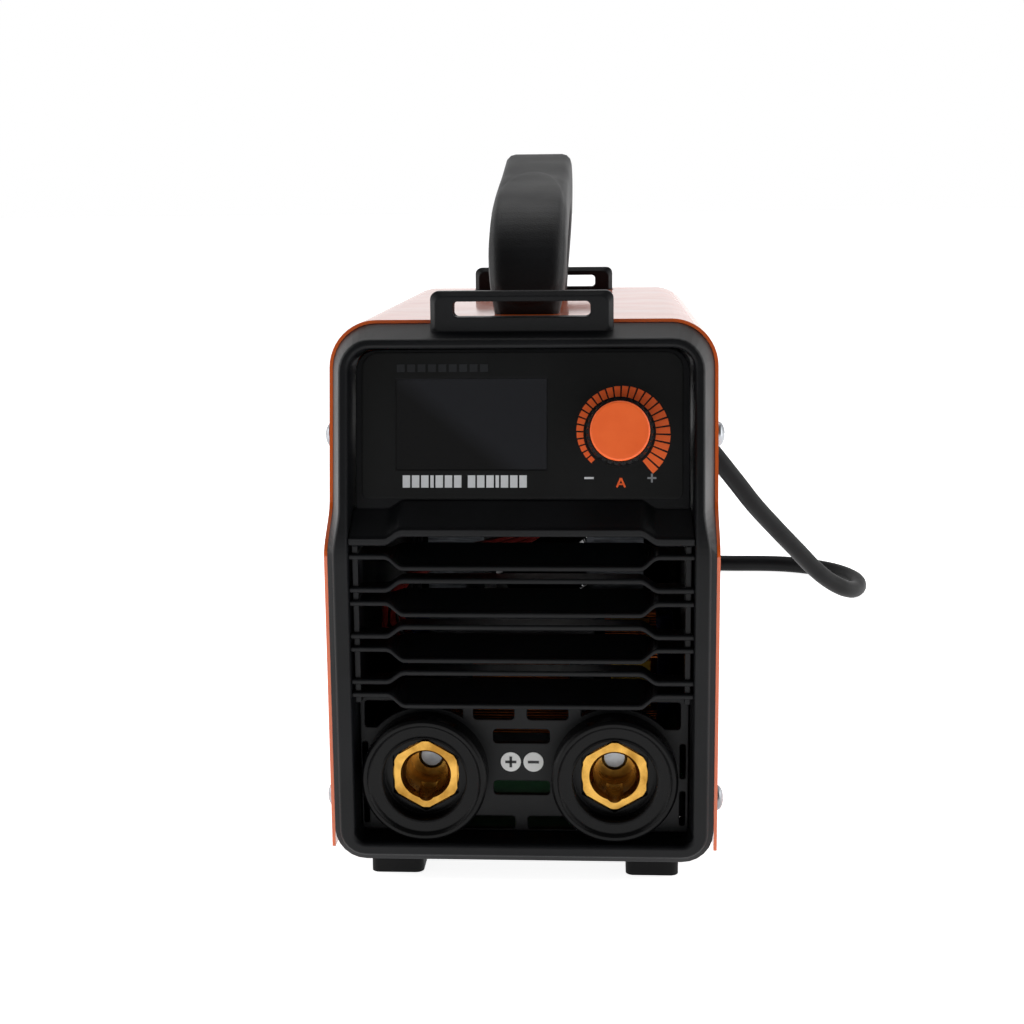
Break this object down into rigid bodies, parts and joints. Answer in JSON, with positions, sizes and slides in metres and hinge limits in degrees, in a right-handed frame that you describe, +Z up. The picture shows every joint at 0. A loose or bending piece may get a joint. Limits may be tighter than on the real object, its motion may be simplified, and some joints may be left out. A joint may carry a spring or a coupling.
{
  "type": "stick welding inverter",
  "caption": "Portable stick welding inverter with an orange steel cover, black moulded bezels, current dial, louvres, two brass current sockets, top handle and mains lead.",
  "frame": {"origin": "on the floor under the middle of the machine", "axes": "+Z up, front faces -Y, +X to the right seen from the front"},
  "size_m": [0.2209, 0.4434, 0.2194],
  "materials": {
    "shell_plastic": "fine texture",
    "label_black": "satin film",
    "display_gloss": "gloss",
    "knob_black": "satin",
    "orange_plastic": "satin",
    "orange_paint": "satin paint",
    "tray_paint": "satin paint",
    "handle_plastic": "fine texture",
    "socket_black": "semi-gloss",
    "contact_brass": "machined",
    "copper_bare": "bare copper",
    "zinc_steel": "zinc plated",
    "guard_chrome": "bright plated",
    "white_plastic": "matt print",
    "foot_rubber": "matt",
    "cord_rubber": "satin",
    "tie_plastic": "satin",
    "fan_plastic": "satin",
    "switch_plastic": "semi-gloss",
    "board_green": "lacquered",
    "sink_aluminium": "extruded",
    "part_black": "matt",
    "capacitor_blue": "shrink sleeve",
    "ferrite": "matt",
    "choke_yellow": "coated",
    "relay_blue": "moulded",
    "wire_red": "insulation",
    "wire_black": "insulation"
  },
  "bodies": {
    "machine": {"front_bezel": "shell_plastic", "control_panel": "shell_plastic", "vent_grille": "shell_plastic", "control_label": "label_black", "dial_scale": "orange_plastic", "display_window": "display_gloss", "lcd_module": "display_gloss", "control_board": "board_green", "potentiometer": "zinc_steel", "dial_nut": "zinc_steel", "socket_panel": "shell_plastic", "positive_socket": "socket_black", "negative_socket": "socket_black", "positive_contact": "contact_brass", "negative_contact": "contact_brass", "socket_rings": "shell_plastic", "contact_bolts": "zinc_steel", "polarity_discs": "white_plastic", "output_busbars": "copper_bare", "top_cover": "orange_paint", "cover_screws": "zinc_steel", "base_tray": "tray_paint", "feet": "foot_rubber", "foot_screws": "zinc_steel", "handle_grip": "handle_plastic", "handle_screws": "zinc_steel", "rear_bezel": "shell_plastic", "rear_panel": "shell_plastic", "rear_screws": "zinc_steel", "fan_guard": "guard_chrome", "fan_frame": "fan_plastic", "fan_motor": "copper_bare", "fan_screws": "zinc_steel", "switch_body": "switch_plastic", "cable_gland": "shell_plastic", "strain_relief": "cord_rubber", "power_cord": "cord_rubber", "cord_coil": "cord_rubber", "cord_tie": "tie_plastic", "plug_body": "cord_rubber", "plug_pins": "zinc_steel", "main_board": "board_green", "board_standoffs": "contact_brass", "board_screws": "zinc_steel", "heatsinks": "sink_aluminium", "power_transistors": "part_black", "bulk_capacitors": "capacitor_blue", "transformer_core": "ferrite", "transformer_winding": "copper_bare", "choke_core": "choke_yellow", "choke_winding": "copper_bare", "input_rectifier": "part_black", "start_relay": "relay_blue", "wiring_red": "wire_red", "wiring_black": "wire_black", "insulation_sheets": "part_black"},
    "dial": {"knob_body": "knob_black", "knob_cap": "orange_plastic"},
    "rocker": {"switch_rocker": "switch_plastic"},
    "fan": {"fan_rotor": "fan_plastic"}
  },
  "joints": [
    {"name": "dial_turn", "type": "hinge", "parent": "machine", "child": "dial", "pos_m": [0.0289, -0.09026, 0.135], "axis": [0, -0.9848, 0.1736], "range_deg": [-150, 150]},
    {"name": "switch_rock", "type": "hinge", "parent": "machine", "child": "rocker", "pos_m": [-0.03, 0.0995, 0.131], "axis": [0, 0, 1], "range_deg": [0, 24]},
    {"name": "fan_spin", "type": "hinge", "parent": "machine", "child": "fan", "pos_m": [0, 0.0771, 0.058], "axis": [0, 1, 0], "continuous": true}
  ]
}
